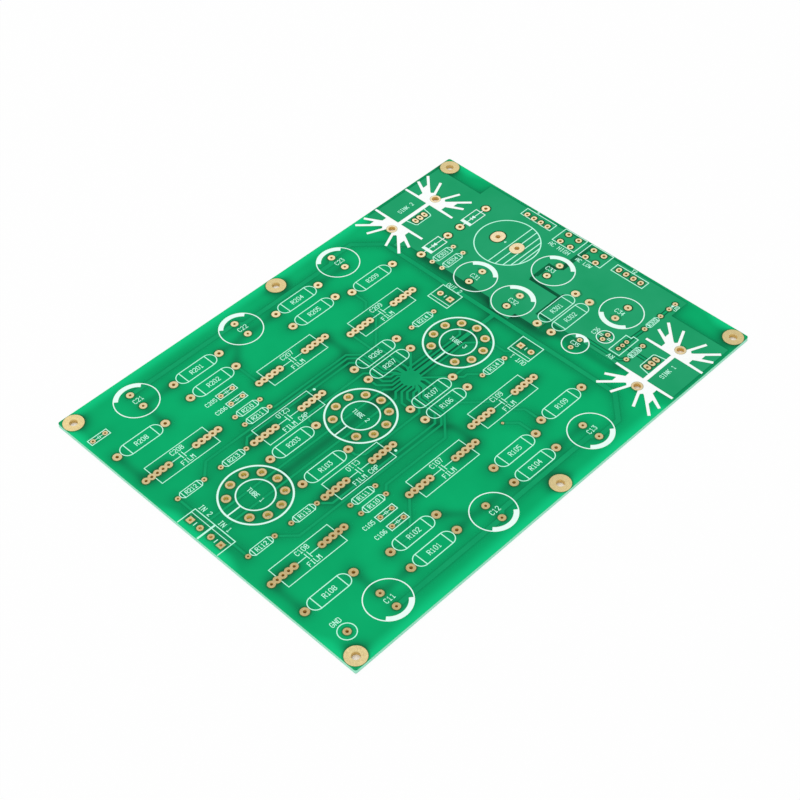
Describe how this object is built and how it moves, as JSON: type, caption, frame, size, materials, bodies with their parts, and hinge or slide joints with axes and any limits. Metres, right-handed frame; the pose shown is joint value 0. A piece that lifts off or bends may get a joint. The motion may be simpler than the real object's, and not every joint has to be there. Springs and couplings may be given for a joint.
{
  "type": "amplifier circuit board",
  "caption": "Bare green two-layer circuit board for a three-tube preamplifier, with plated holes, tinned lands and white component outlines.",
  "frame": {"origin": "centre of the board's underside", "axes": "+X along the length from the input edge to the supply edge, +Y across the width from channel 1 to channel 2, +Z out of the component side"},
  "size_m": [0.2032, 0.1524, 0.0016],
  "materials": {
    "laminate": "green solder mask on glass-epoxy laminate",
    "masked_track": "copper track under green solder mask",
    "masked_pour": "copper pour under green solder mask",
    "tinned_copper": "satin plating",
    "ink": "screen-printed ink"
  },
  "bodies": {
    "root": {"board": "laminate", "top_tracks": "masked_track", "supply_pours": "masked_pour", "bottom_tracks": "masked_track", "mounting_pads": "tinned_copper", "socket_1_pads": "tinned_copper", "socket_2_pads": "tinned_copper", "socket_3_pads": "tinned_copper", "power_resistor_pads": "tinned_copper", "small_resistor_pads": "tinned_copper", "film_capacitor_pads": "tinned_copper", "ceramic_capacitor_pads": "tinned_copper", "channel_can_pads": "tinned_copper", "supply_can_pads": "tinned_copper", "reservoir_pads": "tinned_copper", "heatsink_pads": "tinned_copper", "transistor_pads": "tinned_copper", "rectifier_pads": "tinned_copper", "input_terminal_pads": "tinned_copper", "output_terminal_pads": "tinned_copper", "transformer_strip_pads": "tinned_copper", "supply_block_pads": "tinned_copper", "trimmer_pads": "tinned_copper", "lamp_pads": "tinned_copper", "ground_pad": "tinned_copper", "via": "tinned_copper", "socket_1_outline": "ink", "socket_2_outline": "ink", "socket_3_outline": "ink", "power_resistor_outlines": "ink", "small_resistor_outlines": "ink", "film_capacitor_outlines": "ink", "ceramic_capacitor_outlines": "ink", "channel_can_outlines": "ink", "supply_can_outlines": "ink", "reservoir_outline": "ink", "heatsink_1_outline": "ink", "heatsink_2_outline": "ink", "transistor_outlines": "ink", "rectifier_outlines": "ink", "input_terminal_outline": "ink", "output_terminal_outlines": "ink", "transformer_strip_outlines": "ink", "supply_block_outlines": "ink", "trimmer_outline": "ink", "lamp_outline": "ink", "ground_outline": "ink"}
  },
  "joints": []
}
